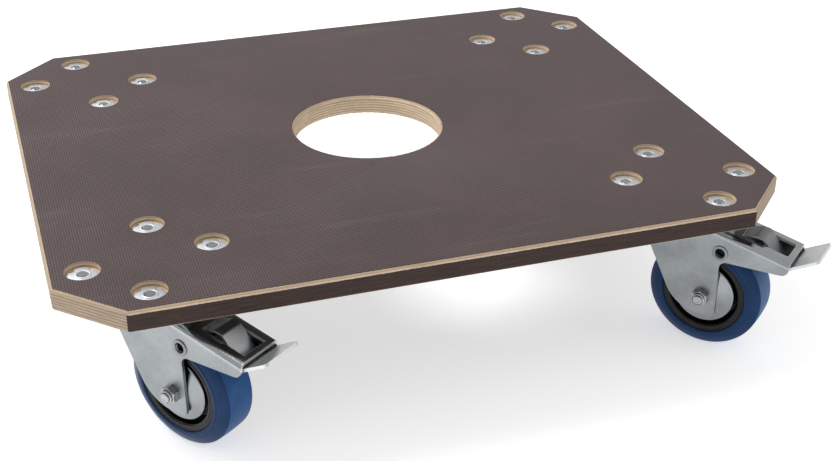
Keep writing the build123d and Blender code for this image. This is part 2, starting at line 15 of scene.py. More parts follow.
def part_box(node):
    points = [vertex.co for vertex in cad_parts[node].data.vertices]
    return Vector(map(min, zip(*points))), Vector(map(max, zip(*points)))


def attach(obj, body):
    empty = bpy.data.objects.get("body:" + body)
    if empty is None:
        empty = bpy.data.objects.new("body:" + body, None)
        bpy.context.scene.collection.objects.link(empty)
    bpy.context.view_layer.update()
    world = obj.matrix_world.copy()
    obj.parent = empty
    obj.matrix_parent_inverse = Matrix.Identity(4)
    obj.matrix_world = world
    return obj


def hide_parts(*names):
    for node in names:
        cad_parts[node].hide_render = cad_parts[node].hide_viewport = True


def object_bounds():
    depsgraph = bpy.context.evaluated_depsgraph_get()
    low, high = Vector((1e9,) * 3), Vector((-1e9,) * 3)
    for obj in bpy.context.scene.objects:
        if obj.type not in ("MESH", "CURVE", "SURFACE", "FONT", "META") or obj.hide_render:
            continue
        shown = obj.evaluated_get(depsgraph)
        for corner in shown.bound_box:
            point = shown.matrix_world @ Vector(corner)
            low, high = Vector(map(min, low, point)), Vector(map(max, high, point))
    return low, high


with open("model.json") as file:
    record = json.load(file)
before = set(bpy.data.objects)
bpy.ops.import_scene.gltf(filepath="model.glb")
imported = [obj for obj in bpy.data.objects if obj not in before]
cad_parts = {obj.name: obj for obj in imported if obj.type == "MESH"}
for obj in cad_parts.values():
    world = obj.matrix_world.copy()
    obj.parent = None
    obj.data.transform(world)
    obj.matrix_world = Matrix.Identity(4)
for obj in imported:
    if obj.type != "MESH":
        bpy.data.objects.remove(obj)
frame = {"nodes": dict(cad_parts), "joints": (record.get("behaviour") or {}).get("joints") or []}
cad_low, cad_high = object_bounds()

MM = 0.001
SAME_POINT = 1e-6
CLOSED_SEAM = 1e-7
NODE_SHARP_ANGLE = 28.0
CASTERS = ("front_left", "front_right", "rear_left", "rear_right")
JOINTS = {joint["name"]: joint for joint in frame["joints"]}
FLOOR_LEVEL = cad_low.z
BOARD_LOW, BOARD_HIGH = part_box("deck_board")

# ---------------------------------------------------------------- sizes of the turned pieces, mm
WHEEL_RADIUS = 50.0
TYRE_INNER_RADIUS = 36.4
TYRE_HALF_WIDTH = 18.0
BEAD_RADIUS = 39.6
BEAD_STEP = 0.8
TREAD_HALF_WIDTH = 12.4
TREAD_CROWN = 0.4
MOULD_LINE_DEPTH = 0.12
SHOULDER_DROP = 0.25
SHOULDER_OUT = 0.35
SHOULDER_LEAVES = (-2.2, 3.4)
SHOULDER_ARRIVES = (-6.0, 0.0)
BEAD_EDGE = 0.5
BEAD_EDGE_INSET = 0.3
RIM_HALF_WIDTH = 17.2
RIM_RING_RADIUS = 30.5
RIM_RING_ROUNDING = 2.2
RIM_WEB_HALF = 4.0
RIM_EDGE = 0.6
RIM_FILLET = 1.8
RIM_FILLET_SETBACK = 2.4
RIM_GROOVE = (1.6, 1.9, 2.2)
RIM_GROOVE_DEPTH = 0.25
HUB_RADIUS = 14.5
HUB_BORE_RADIUS = 10.0
HUB_HALF_WIDTH = 16.5
FORK_INNER_HALF = 19.5
FORK_OUTER_HALF = 22.0
AXLE_RADIUS = 4.0
GUARD_RADIUS = 27.0
GUARD_HUB_RADIUS = 11.0
GUARD_DISH = 3.2
GUARD_THICKNESS = 1.0
GUARD_STRAIGHT_SHARE = 0.65
GUARD_LIP_ROUNDING = 1.4
GUARD_LIP_DEPTH = 1.8
GUARD_LIP_THICKNESS = 0.8
GUARD_DRAFT = 0.3
NUT_ACROSS_FLATS = 13.0
NUT_HEX_HEIGHT = 5.6
NUT_COLLAR_HEIGHT = 2.4
NUT_COLLAR_RADIUS = 5.8
NUT_COLLAR_ROUNDING = 0.9
NUT_COLLAR_FOOT = 0.5
NUT_GROOVE_RADIUS = 4.8
NUT_GROOVE_DEPTH = 0.8
HEX_BEVEL = 30.0
HEX_CONE_DEPTH = 1.0
HEX_CONE_END = 1.2
HEX_FACE_SHARE = 0.985
HEX_CROWN_RADIUS = 5.0
HEX_DISH_RADIUS = 4.2
HEX_DISH_DEPTH = 0.25
BOLT_HEAD_HEIGHT = 5.3
BOLT_END = 31.2
BOLT_END_ROUNDING = 0.8
BOLT_CUP_RADIUS = 2.5
BOLT_CUP_DEPTH = 0.3
RIVET_HOLE_RADIUS = 3.5
RIVET_RADIUS = 4.5
RIVET_FLANGE_RADIUS = 6.75
RIVET_FLANGE_HEIGHT = 1.1
RIVET_FLANGE_EDGE = 0.5
RIVET_ROLL_RADIUS = 0.7
RIVET_ROLL_OUT = 1.4
RIVET_MOUTH_DEPTH = 0.6
CHEEK_INNER = 17.6

# ---------------------------------------------------------------- sizes of the board and its fixings, mm
CORNER_CUT = 48.0
BOLT_SPACING_OUT = 80.0
BOLT_SPACING_ALONG = 60.0
TEE_TOP = -3.5
TEE_FLANGE_RADIUS = 11.6
TEE_FLANGE_THICKNESS = 1.5
TEE_NOTCH_DEPTH = 2.4
TEE_NOTCH_WIDTH = 4.2
TEE_NOTCH_FADE = 3.0
TEE_RING_RADIUS = 6.2
TEE_RING_HEIGHT = 0.8
TEE_BARREL_RADIUS = 5.0
TEE_BARREL_LENGTH = 9.5
BOLT_RADIUS = 4.0
BOLT_PITCH = 1.25
BOLT_THREAD_DEPTH = 0.5
BOLT_END_PROUD = 1.1
BOLT_HEAD_ACROSS_FLATS = 13.0
CASTER_BOLT_HEAD_HEIGHT = 5.3
BOLT_FLANGE_RADIUS = 8.5
BOLT_FLANGE_HEIGHT = 1.4
PLATE_UNDERSIDE = -21.0
THREAD_RUN = 4.2

# ---------------------------------------------------------------- points round each kind of piece
ROUND_TYRE = 160
ROUND_RIM = 128
ROUND_GUARD = 96
ROUND_HEX = 120
ROUND_RIVET = 72
ROUND_TEE_NUT = 120
ROUND_CASTER_BOLT = 96

# ---------------------------------------------------------------- board's surface, mm
BOARD_ROUND_OVER_REACH = 0.6
CORNER_REACH = 0.8
FILM_MESH_PITCH = 3.2
FILM_MESH_ANGLE = 38.0
FILM_END = (0.34, 0.42)
PLY_PITCH = 2.6
PLY_WAVER = 0.5
GLUE_LINE_DEPTH = 3.6
PAINT_STARTS_BELOW_TOP = (2.0, 2.5)
PAINT_ENDS_ABOVE_BOTTOM = (0.5, 0.9)

# ---------------------------------------------------------------- sizes of the fork, mm from the floor
CROWN_TOP = 116.4
ROOF_START = 40.0
ROOF_END = 105.5
ROOF_SLOPE = 12.0
WINDOW_START, WINDOW_END = 61.0, 101.0
WINDOW_HALF_WIDTH = 12.0
LIP_END = 128.2
LIP_CUT_END = 1.5
ROOF_FOLD = (3.0, 6.5)


# ================================================================ node helpers
def put(tree, kind, inputs=None, **settings):
    """Adds a node. A value in inputs is a number, a colour or another node's output socket."""
    made = tree.nodes.new("ShaderNode" + kind)
    for name, value in settings.items():
        setattr(made, name, value)
    for name, value in (inputs or {}).items():
        if isinstance(value, bpy.types.NodeSocket):
            tree.links.new(value, made.inputs[name])
        else:
            made.inputs[name].default_value = value
    return made


def calc(tree, operation, first, second=0.0, third=0.0):
    """A Math node's result."""
    return put(tree, "Math", {0: first, 1: second, 2: third}, operation=operation).outputs[0]


def blend_colour(tree, share, first, second, mode="MIX"):
    """Colour that goes from first to second as share goes from 0 to 1."""
    mixer = put(tree, "Mix", {0: share, 6: first, 7: second}, data_type="RGBA", blend_type=mode)
    return mixer.outputs[2]


def step_between(tree, value, low, high, out_low=0.0, out_high=1.0):
    """Goes smoothly from out_low to out_high as value goes from low to high."""
    inputs = {0: value, 1: low, 2: high, 3: out_low, 4: out_high}
    return put(tree, "MapRange", inputs, interpolation_type="SMOOTHSTEP").outputs[0]


def noise(tree, where, scale, detail=3.0, roughness=0.5):
    inputs = {"Vector": where, "Scale": scale, "Detail": detail, "Roughness": roughness}
    return put(tree, "TexNoise", inputs).outputs[0]


def stretched(tree, where, scale, turn=(0.0, 0.0, 0.0)):
    """The same place, turned and then scaled along each axis, to draw a pattern out."""
    inputs = {"Vector": where, "Scale": scale, "Rotation": turn}
    return put(tree, "Mapping", inputs).outputs[0]


def colour(red, green, blue):
    return (red, green, blue, 1.0)


def start_material(name, **sockets):
    """A new Principled material with these uniform socket values, its tree and its shader."""
    material = bpy.data.materials.new(name)
    material.use_nodes = True
    tree = material.node_tree
    shader = tree.nodes["Principled BSDF"]
    for socket, value in sockets.items():
        shader.inputs[socket.replace("_", " ")].default_value = value
    return material, tree, shader


def object_place(tree):
    return put(tree, "TexCoord").outputs["Object"]


def set_bump(tree, shader, height, distance, strength=1.0):
    inputs = {"Height": height, "Distance": distance, "Strength": strength}
    tree.links.new(put(tree, "Bump", inputs).outputs[0], shader.inputs["Normal"])


# ================================================================ finishes
def film_faced_ply():
    """Board: meshed brown film on both faces, birch plies on bare edges, sealed long edges."""
    material, tree, shader = start_material("film_faced_ply", Specular_IOR_Level=0.4)
    coords = put(tree, "TexCoord")
    place, normal = coords.outputs["Object"], coords.outputs["Normal"]
    xyz = put(tree, "SeparateXYZ", {0: place}).outputs
    facing = put(tree, "SeparateXYZ", {0: normal}).outputs
    board_bottom = BOARD_LOW.z

    # the film: a diagonal mesh pressed into the top, cloudy wear and thin scuffs
    mesh = None
    for turn in (math.radians(FILM_MESH_ANGLE), math.radians(-FILM_MESH_ANGLE)):
        along = put(tree, "Mapping", {"Vector": place, "Rotation": (0.0, 0.0, turn)}).outputs[0]
        line = put(tree, "SeparateXYZ", {0: along}).outputs[0]
        wave = calc(tree, "SINE", calc(tree, "MULTIPLY", line, 2 * math.pi / (FILM_MESH_PITCH * MM)))
        mesh = wave if mesh is None else calc(tree, "MULTIPLY", mesh, wave)
    cloud = noise(tree, place, 7.0, 6.0, 0.62)
    streak = noise(tree, stretched(tree, place, (3.0, 26.0, 1.0), (0, 0, 0.5)), 1.6, 5.0, 0.6)
    grain = noise(tree, place, 900.0, 2.0)
    film = blend_colour(tree, step_between(tree, cloud, 0.35, 0.72),
                        colour(0.084, 0.052, 0.053), colour(0.130, 0.088, 0.089))
    film = blend_colour(tree, step_between(tree, streak, 0.56, 0.78, 0.0, 0.45),
                        film, colour(0.20, 0.16, 0.16))
    film = blend_colour(tree, step_between(tree, mesh, -0.25, 0.35, 0.0, 0.95),
                        film, colour(0.026, 0.015, 0.016))
    film = blend_colour(tree, step_between(tree, grain, 0.45, 0.75, 0.0, 0.30),
                        film, colour(0.20, 0.155, 0.15))

    # birch plies, seen on every bare edge, the hand hole and the counterbores
    waver = noise(tree, stretched(tree, place, (14.0, 14.0, 60.0)), 1.0, 3.0)
    height = calc(tree, "ADD", xyz[2], calc(tree, "MULTIPLY", waver, PLY_WAVER * MM))
    layer = calc(tree, "SINE", calc(tree, "MULTIPLY", height, 2 * math.pi / (PLY_PITCH * MM)))
    fibre = noise(tree, stretched(tree, place, (70.0, 70.0, 900.0)), 1.0, 4.0, 0.7)
    speckle = noise(tree, place, 1400.0, 2.0)
    ply = blend_colour(tree, step_between(tree, layer, -0.6, 0.5),
                       colour(0.50, 0.36, 0.23), colour(0.74, 0.60, 0.45))
    ply = blend_colour(tree, step_between(tree, fibre, 0.35, 0.7, 0.0, 0.55),
                       ply, colour(0.36, 0.27, 0.19))
    ply = blend_colour(tree, step_between(tree, speckle, 0.55, 0.75, 0.0, 0.5),
                       ply, colour(0.30, 0.21, 0.14))

    # the short edges and the cut corners are weathered grey
    reach = BOARD_ROUND_OVER_REACH * MM
    side = calc(tree, "GREATER_THAN", calc(tree, "ABSOLUTE", xyz[0]), BOARD_HIGH.x - reach)
    slant = calc(tree, "ADD", calc(tree, "ABSOLUTE", xyz[0]), calc(tree, "ABSOLUTE", xyz[1]))
    slant_edge = BOARD_HIGH.x + BOARD_HIGH.y - CORNER_CUT * MM - CORNER_REACH * MM
    corner = calc(tree, "GREATER_THAN", slant, slant_edge)
    weathered = calc(tree, "MULTIPLY", calc(tree, "MAXIMUM", side, corner), 0.85)
    ply = blend_colour(tree, weathered, ply, colour(0.60, 0.60, 0.62), "MULTIPLY")
    glue_line = calc(tree, "ABSOLUTE", calc(tree, "ADD", height, GLUE_LINE_DEPTH * MM))
    ply = blend_colour(tree, step_between(tree, glue_line, 0.0, 0.5 * MM, 0.7, 0.0),
                       ply, colour(0.33, 0.19, 0.09))

    # the two long edges are sealed with brown paint between their round-overs
    ragged = calc(tree, "MULTIPLY", noise(tree, stretched(tree, place, (420, 420, 200)), 1.0, 4.0), MM)
    below_top = calc(tree, "SUBTRACT", calc(tree, "MULTIPLY", xyz[2], -1.0), ragged)
    above_bottom = calc(tree, "ADD", calc(tree, "SUBTRACT", xyz[2], board_bottom), ragged)
    on_long_edge = calc(tree, "GREATER_THAN", calc(tree, "ABSOLUTE", xyz[1]), BOARD_HIGH.y - reach)
    starts = [depth * MM for depth in PAINT_STARTS_BELOW_TOP]
    ends = [depth * MM for depth in PAINT_ENDS_ABOVE_BOTTOM]
    painted = calc(tree, "MULTIPLY", on_long_edge, step_between(tree, below_top, *starts))
    painted = calc(tree, "MULTIPLY", painted, step_between(tree, above_bottom, *ends))
    paint_streak = noise(tree, stretched(tree, place, (40.0, 40.0, 1100.0)), 1.0, 4.0, 0.65)
    paint = blend_colour(tree, step_between(tree, paint_streak, 0.3, 0.75),
                         colour(0.022, 0.010, 0.008), colour(0.058, 0.033, 0.026))
    fleck = noise(tree, place, 700.0, 1.0)
    paint = blend_colour(tree, step_between(tree, fleck, 0.74, 0.80, 0.0, 0.8),
                         paint, colour(0.45, 0.33, 0.22))
    edge = blend_colour(tree, painted, ply, paint)

    # the film ends raggedly where the round-over starts
    film_edge = calc(tree, "MULTIPLY", noise(tree, place, 500.0, 3.0), 0.3 * MM)
    outside = calc(tree, "ABSOLUTE", calc(tree, "SUBTRACT", xyz[2], board_bottom / 2))
    face_depth = calc(tree, "ADD", calc(tree, "SUBTRACT", -board_bottom / 2, outside), film_edge)
    on_face = step_between(tree, face_depth, *(depth * MM for depth in FILM_END), 1.0, 0.0)
    level = step_between(tree, calc(tree, "ABSOLUTE", facing[2]), 0.6, 0.75)
    on_film = calc(tree, "MULTIPLY", on_face, level)
    # painted shade: the underside film is darkened nearly to black
    shaded_underside = calc(tree, "LESS_THAN", xyz[2], board_bottom + 0.5 * MM)
    film = blend_colour(tree, calc(tree, "MULTIPLY", shaded_underside, 0.8), film, colour(0.022, 0.020, 0.020))
    tree.links.new(blend_colour(tree, on_film, edge, film), shader.inputs["Base Color"])
    sheen = step_between(tree, cloud, 0.3, 0.75, 0.40, 0.56)
    rough = calc(tree, "ADD", calc(tree, "MULTIPLY", on_film, calc(tree, "SUBTRACT", sheen, 0.78)), 0.78)
    tree.links.new(rough, shader.inputs["Roughness"])
    relief = calc(tree, "MULTIPLY", calc(tree, "MULTIPLY", mesh, on_film), 0.06)
    wood_relief = calc(tree, "MULTIPLY", calc(tree, "SUBTRACT", 1.0, on_film), fibre)
    relief = calc(tree, "ADD", relief, calc(tree, "MULTIPLY", wood_relief, 0.25))
    set_bump(tree, shader, relief, 1.0 * MM)
    return material


def zinc_skin(tree, place, base, mottle, streaks=0.0):
    """Cloudy, faintly spangled zinc colour, and the cloud itself for use in the gloss."""
    cloud = noise(tree, place, 38.0, 6.0, 0.62)
    spangle = put(tree, "TexVoronoi", {"Vector": place, "Scale": 520.0}).outputs["Distance"]
    drawn = noise(tree, stretched(tree, place, (60.0, 60.0, 900.0)), 1.0, 3.0)
    dark = colour(*(channel * (1.0 - mottle) for channel in base))
    tint = blend_colour(tree, step_between(tree, cloud, 0.3, 0.72), dark, colour(*base))
    tint = blend_colour(tree, step_between(tree, spangle, 0.2, 0.9, 0.0, mottle), tint, dark)
    tint = blend_colour(tree, step_between(tree, drawn, 0.5, 0.8, 0.0, streaks), tint, dark)
    return tint, cloud


def zinc(name, base, mottle, roughness, streaks=0.0):
    """Bright zinc plate: cloudy spangle in its colour and gloss over a faintly uneven skin."""
    material, tree, shader = start_material(name, Metallic=1.0)
    place = object_place(tree)
    tint, cloud = zinc_skin(tree, place, base, mottle, streaks)
    fine = noise(tree, place, 1500.0, 3.0)
    tree.links.new(tint, shader.inputs["Base Color"])
    gloss = calc(tree, "ADD", step_between(tree, cloud, 0.3, 0.7, *roughness),
                 calc(tree, "MULTIPLY", fine, 0.06))
    tree.links.new(gloss, shader.inputs["Roughness"])
    set_bump(tree, shader, calc(tree, "ADD", fine, cloud), 0.02 * MM)
    return material


def caster_place(tree, caster):
    """Place in the caster's own frame, mm: x the way it trails, z up from the floor."""
    swivel, axle = JOINTS[f"{caster}_swivel"], JOINTS[f"{caster}_roll"]
    heading = math.atan2(-axle["axis"][0], axle["axis"][1])
    foot = (swivel["pos_m"][0], swivel["pos_m"][1], FLOOR_LEVEL)
    inputs = {"Vector": object_place(tree), "Location": foot, "Rotation": (0.0, 0.0, heading),
              "Scale": (MM, MM, MM)}
    local = put(tree, "Mapping", inputs, vector_type="TEXTURE").outputs[0]
    return put(tree, "SeparateXYZ", {0: local}).outputs


def within(tree, value, low, high):
    """1 where value lies between low and high, else 0."""
    above = calc(tree, "GREATER_THAN", value, low)
    return calc(tree, "MULTIPLY", above, calc(tree, "LESS_THAN", value, high))


def fork_zinc(caster):
    """Fork: satin spangled sides, a smoother roof painted lighter as a painted highlight, and light rough
    sheared edges.
    """
    material, tree, shader = start_material(f"zinc_sheet_{caster}", Metallic=1.0)
    place = object_place(tree)
    along, across, up = caster_place(tree, caster)
    tint, cloud = zinc_skin(tree, place, (0.37, 0.395, 0.41), 0.30)
    drop = calc(tree, "MAXIMUM", calc(tree, "SUBTRACT", along, ROOF_START), 0.0)
    roof = calc(tree, "SUBTRACT", CROWN_TOP,
                calc(tree, "MULTIPLY", drop, math.tan(math.radians(ROOF_SLOPE))))
    below_roof = calc(tree, "SUBTRACT", roof, up)
    aside = calc(tree, "ABSOLUTE", across)
    on_roof = step_between(tree, below_roof, *ROOF_FOLD, 1.0, 0.0)
    in_window = calc(tree, "MULTIPLY", within(tree, along, WINDOW_START - 0.15, WINDOW_END + 0.15),
                     calc(tree, "LESS_THAN", aside, WINDOW_HALF_WIDTH + 0.15))
    sheared = calc(tree, "MAXIMUM", in_window, calc(tree, "GREATER_THAN", along, ROOF_END - 0.1))
    # painted highlight: the roof and its fold get a lighter zinc
    tint = blend_colour(tree, calc(tree, "MULTIPLY", on_roof, 0.5), tint, colour(0.60, 0.62, 0.64))
    tint = blend_colour(tree, sheared, tint, colour(0.78, 0.78, 0.76))
    tree.links.new(tint, shader.inputs["Base Color"])
    fine = noise(tree, place, 1500.0, 3.0)
    satin = step_between(tree, cloud, 0.3, 0.7, 0.34, 0.46)
    gloss = calc(tree, "ADD", satin, calc(tree, "MULTIPLY", on_roof, -0.26))
    gloss = calc(tree, "MAXIMUM", gloss, calc(tree, "MULTIPLY", sheared, 0.6))
    tree.links.new(gloss, shader.inputs["Roughness"])
    relief = calc(tree, "ADD", fine, calc(tree, "MULTIPLY", sheared, noise(tree, place, 900.0, 2.0)))
    set_bump(tree, shader, calc(tree, "ADD", relief, cloud), 0.02 * MM)
    return material


def pedal_zinc(caster):
    """Pedal: satin rolled strip, with painted shade under the fork's roof, and a light cut end."""
    material, tree, shader = start_material(f"zinc_pedal_{caster}", Metallic=1.0)
    place = object_place(tree)
    along, _, _ = caster_place(tree, caster)
    tint, cloud = zinc_skin(tree, place, (0.74, 0.76, 0.77), 0.20, 0.25)
    # painted shade: the strip is darkened where it runs under the fork's roof
    painted_shade_under_roof = step_between(tree, along, ROOF_END - 6.0, ROOF_END + 3.0, 0.75, 0.0)
    tint = blend_colour(tree, painted_shade_under_roof, tint, colour(0.15, 0.155, 0.16))
    cut_end = calc(tree, "GREATER_THAN", along, LIP_END - LIP_CUT_END)
    tint = blend_colour(tree, calc(tree, "MULTIPLY", cut_end, 0.6), tint, colour(0.72, 0.73, 0.73))
    tree.links.new(tint, shader.inputs["Base Color"])
    fine = noise(tree, place, 1300.0, 3.0)
    gloss = step_between(tree, cloud, 0.3, 0.7, 0.32, 0.44)
    tree.links.new(gloss, shader.inputs["Roughness"])
    set_bump(tree, shader, calc(tree, "ADD", fine, cloud), 0.03 * MM)
    return material


def blue_rubber(caster):
    """Elastic rubber: a deep blue, a glossier side wall with painted shade, and a tread with painted light.
    """
    material, tree, shader = start_material(f"blue_rubber_{caster}", Specular_IOR_Level=0.18)
    place = object_place(tree)
    _, across, _ = caster_place(tree, caster)
    on_side = step_between(tree, calc(tree, "ABSOLUTE", across), TREAD_HALF_WIDTH, TREAD_HALF_WIDTH + 0.4)
    dust = noise(tree, place, 60.0, 5.0, 0.65)
    grain = noise(tree, place, 2200.0, 2.0)
    # painted light and shade: the tread gets a lighter copy of the blue, the side wall a darker one; the
    # dust noise is real tone in both
    tread = blend_colour(tree, step_between(tree, dust, 0.35, 0.75),
                         colour(0.008, 0.058, 0.185), colour(0.018, 0.088, 0.245))
    wall = blend_colour(tree, step_between(tree, dust, 0.35, 0.75),
                        colour(0.002, 0.024, 0.088), colour(0.004, 0.036, 0.118))
    base = blend_colour(tree, on_side, tread, wall)
    base = blend_colour(tree, step_between(tree, grain, 0.5, 0.8, 0.0, 0.15),
                        base, colour(0.03, 0.09, 0.22))
    tree.links.new(base, shader.inputs["Base Color"])
    gloss = step_between(tree, dust, 0.3, 0.7, 0.40, 0.52)
    tree.links.new(calc(tree, "SUBTRACT", gloss, calc(tree, "MULTIPLY", on_side, 0.12)),
                   shader.inputs["Roughness"])
    set_bump(tree, shader, calc(tree, "ADD", grain, dust), 0.05 * MM)
    return material


def black_nylon():
    """Moulded black nylon with a soft gloss and a fine skin."""
    material, tree, shader = start_material("black_nylon", Specular_IOR_Level=0.28)
    place = object_place(tree)
    cloud = noise(tree, place, 90.0, 4.0)
    skin = noise(tree, place, 2600.0, 2.0)
    base = blend_colour(tree, step_between(tree, cloud, 0.35, 0.7),
                        colour(0.003, 0.003, 0.0035), colour(0.008, 0.008, 0.009))
    tree.links.new(base, shader.inputs["Base Color"])
    tree.links.new(step_between(tree, cloud, 0.3, 0.7, 0.20, 0.32), shader.inputs["Roughness"])
    set_bump(tree, shader, skin, 0.04 * MM)
    return material


# ================================================================ surface helpers
def surface(name, points, wrap_along=False):
    """A mesh from a grid of points: rows go round and close on themselves, columns run along.

    points has the shape (around, along, 3). With wrap_along the last column joins the first.
    """
    around, along = points.shape[:2]
    rows = np.arange(around)
    columns = np.arange(along if wrap_along else along - 1)
    row, column = [grid.ravel() for grid in np.meshgrid(rows, columns, indexing="ij")]
    next_row, next_column = (row + 1) % around, (column + 1) % along
    corners = np.stack([row * along + column, next_row * along + column,
                        next_row * along + next_column, row * along + next_column], axis=1)
    mesh = bpy.data.meshes.new(name)
    mesh.from_pydata(points.reshape(-1, 3).tolist(), [], corners.tolist())
    made = bpy.data.objects.new(name, mesh)
    bpy.context.scene.collection.objects.link(made)
    return made


def join_up(made, sharp_angle=32.0):
    """Closes poles, points the faces outwards, and shades smoothly between sharp edges."""
    work = bmesh.new()
    work.from_mesh(made.data)
    bmesh.ops.remove_doubles(work, verts=work.verts, dist=CLOSED_SEAM)
    bmesh.ops.recalc_face_normals(work, faces=work.faces)
    work.to_mesh(made.data)
    work.free()
    made.data.shade_smooth()
    made.data.set_sharp_from_angle(angle=math.radians(sharp_angle))
    return made


def axes_of(axis):
    """Two level directions across an axis, each at right angles to it and to the other."""
    axis = np.array(axis, float)
    side = np.cross((0.0, 0.0, 1.0), axis)
    if np.linalg.norm(side) < 1e-6:
        side = np.array((1.0, 0.0, 0.0))
    side /= np.linalg.norm(side)
    return axis, side, np.cross(axis, side)


def round_axis(radii, heights, centre, axis, count):
    """Points of a shape turned round an axis.

    Each place on it is centre + height * axis + radius * (cos a * side + sin a * up), where the angle
    a goes once round, and radius and height, in mm, follow the profile. Radii may be one row for every
    angle or one row in all.
    """
    axis, side, up = axes_of(axis)
    angle = np.linspace(0.0, 2 * np.pi, count, endpoint=False)[:, None, None]
    radii = np.broadcast_to(np.asarray(radii, float), (count, np.shape(radii)[-1]))[..., None] * MM
    heights = np.broadcast_to(np.asarray(heights, float), (count, np.shape(heights)[-1]))[..., None] * MM
    return np.array(centre) + heights * axis + radii * (np.cos(angle) * side + np.sin(angle) * up)


def arc(centre, radius, start, stop, count):
    """Points on an arc of a profile, angles in degrees from the outward radius."""
    angle = np.radians(np.linspace(start, stop, count))
    return np.stack([centre[0] + radius * np.cos(angle), centre[1] + radius * np.sin(angle)], axis=1)


def curve(start, end, leave, arrive, count):
    """A cubic curve between two profile points: leave and arrive are its directions at the ends."""
    t = np.linspace(0.0, 1.0, count)[:, None]
    start, end, leave, arrive = [np.array(v, float) for v in (start, end, leave, arrive)]
    return ((2 * t**3 - 3 * t**2 + 1) * start + (t**3 - 2 * t**2 + t) * leave
            + (3 * t**2 - 2 * t**3) * end + (t**3 - t**2) * arrive)


def both_sides(half):
    """A profile's half from its middle plane outwards, and the same mirrored to the other side."""
    half = np.asarray(half, float)
    return np.concatenate([half, half[::-1] * (1.0, -1.0)])


# ================================================================ the casters' turned pieces
def caster_places(caster):
    """Axle centre, rivet centre and the direction along the axle, away from its nut."""
    roll, brake = JOINTS[f"{caster}_roll"], JOINTS[f"{caster}_brake"]
    return np.array(roll["pos_m"]), np.array(brake["pos_m"]), np.array(roll["axis"], float)


def tyre(caster):
    """Tyre: bead ring, a small step, a side wall that rolls in, and a tread 0.4 higher at its middle.

    The tread's radius falls off as the square of the distance from the middle, with a shallow mould
    line on the middle plane.
    """
    centre, _, axis = caster_places(caster)
    wall = TYRE_HALF_WIDTH - BEAD_STEP
    across = np.linspace(0.0, TREAD_HALF_WIDTH, 14)
    tread = np.stack([WHEEL_RADIUS - TREAD_CROWN * (across / TREAD_HALF_WIDTH) ** 2, across], axis=1)
    tread[0, 0] -= MOULD_LINE_DEPTH
    shoulder = curve((WHEEL_RADIUS - TREAD_CROWN - SHOULDER_DROP, TREAD_HALF_WIDTH + SHOULDER_OUT),
                     (BEAD_RADIUS + BEAD_STEP, wall), SHOULDER_LEAVES, SHOULDER_ARRIVES, 22)
    bead = np.concatenate([
        arc((BEAD_RADIUS - BEAD_EDGE_INSET, TYRE_HALF_WIDTH - BEAD_EDGE), BEAD_EDGE, 0.0, 90.0, 5),
        arc((TYRE_INNER_RADIUS + BEAD_STEP, TYRE_HALF_WIDTH - BEAD_EDGE), BEAD_EDGE, 90.0, 150.0, 4),
    ])
    inner = np.array([(TYRE_INNER_RADIUS, RIM_HALF_WIDTH - BEAD_EDGE_INSET)])
    profile = both_sides(np.concatenate([tread, shoulder, bead, inner]))
    made = surface(f"{caster}_tyre_rubber", round_axis(*profile.T, centre, axis, ROUND_TYRE), True)
    return join_up(made, 28.0)


def rim(caster):
    """Moulded rim: rounded ring, a deep web between ring and hub, and the hub's bore."""
    centre, _, axis = caster_places(caster)
    ring_top = RIM_HALF_WIDTH
    groove = [(TYRE_INNER_RADIUS - inset, ring_top - depth)
              for inset, depth in zip(RIM_GROOVE, (0.0, RIM_GROOVE_DEPTH, 0.0))]
    web_top = RIM_WEB_HALF + RIM_FILLET
    half = np.concatenate([
        [(TYRE_INNER_RADIUS, 0.0), (TYRE_INNER_RADIUS, ring_top - RIM_EDGE)],
        arc((TYRE_INNER_RADIUS - RIM_EDGE, ring_top - RIM_EDGE), RIM_EDGE, 20.0, 90.0, 4),
        groove,
        arc((RIM_RING_RADIUS + RIM_RING_ROUNDING, ring_top - RIM_RING_ROUNDING),
            RIM_RING_ROUNDING, 90.0, 178.0, 10),
        arc((RIM_RING_RADIUS - RIM_FILLET_SETBACK, web_top), RIM_FILLET, 0.0, -88.0, 7),
        arc((HUB_RADIUS + RIM_FILLET_SETBACK, web_top), RIM_FILLET, -92.0, -180.0, 7),
        arc((HUB_RADIUS - RIM_EDGE, HUB_HALF_WIDTH - RIM_EDGE), RIM_EDGE, 0.0, 90.0, 4),
        [(HUB_BORE_RADIUS, HUB_HALF_WIDTH), (HUB_BORE_RADIUS, 0.0)],
    ])
    points = round_axis(*both_sides(half).T, centre, axis, ROUND_RIM)
    made = surface(f"{caster}_rim_moulding", points, True)
    return join_up(made, 40.0)


